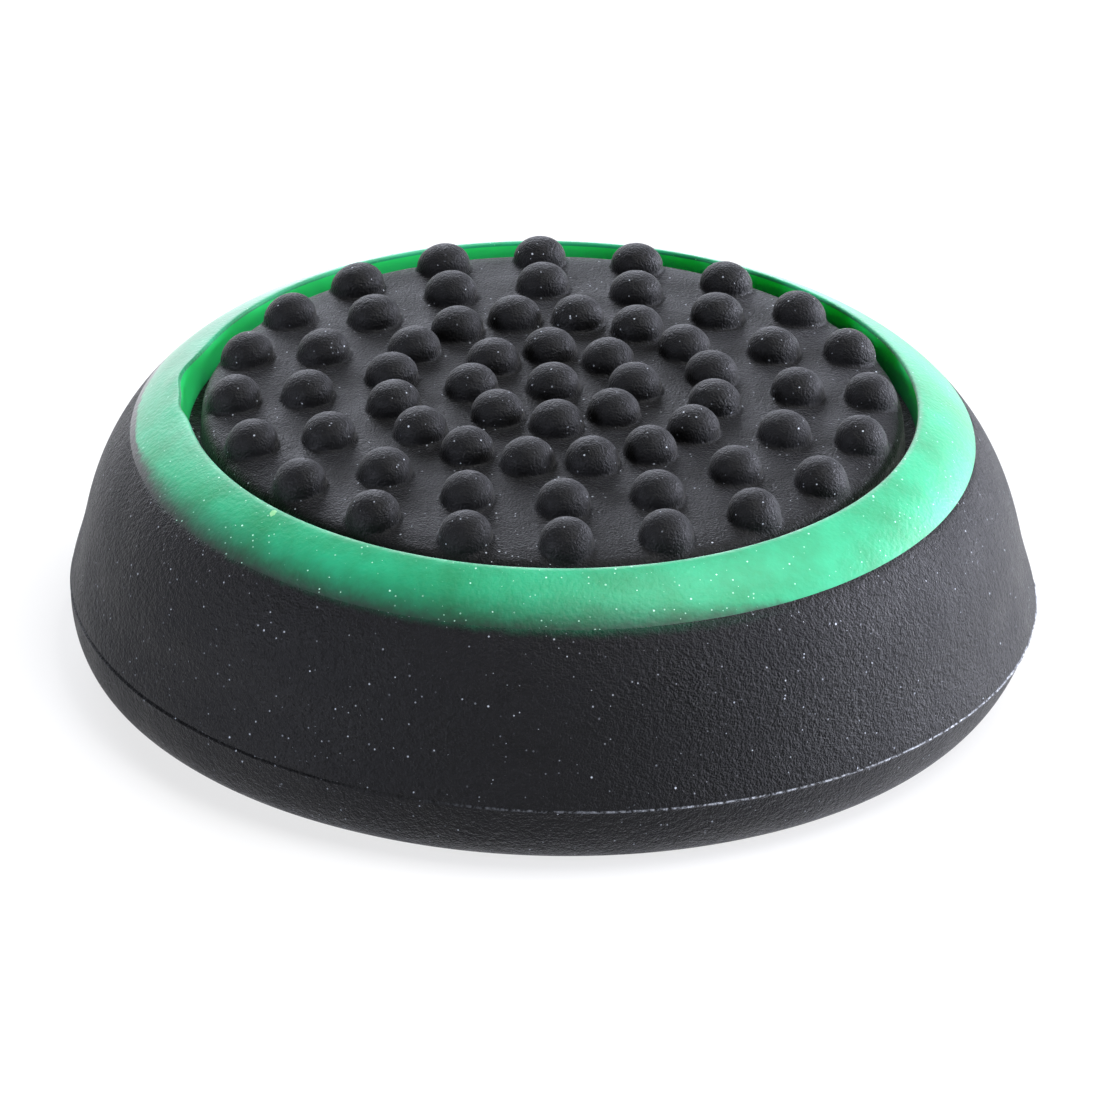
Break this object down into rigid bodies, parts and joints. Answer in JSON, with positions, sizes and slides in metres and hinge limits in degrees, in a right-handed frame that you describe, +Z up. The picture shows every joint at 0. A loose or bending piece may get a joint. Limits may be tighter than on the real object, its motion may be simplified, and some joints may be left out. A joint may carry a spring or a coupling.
{
  "type": "controller thumb grip",
  "caption": "Round silicone cap that is pushed over a game controller's thumb stick, with a studded pad and a coloured ring on its shoulder.",
  "frame": {"origin": "middle of the flat foot that the grip stands on", "axes": "+Z up through the middle of the pad, which is the axis that the cap is turned about; -Y points at a nub of the outermost row"},
  "size_m": [0.026, 0.026, 0.0084],
  "materials": {
    "black_silicone": "matte moulded silicone with a fine eroded grain",
    "green_silicone": "matte moulded silicone, bright green"
  },
  "bodies": {
    "root": {"cap_body": "black_silicone", "accent_ring": "green_silicone"}
  },
  "joints": []
}
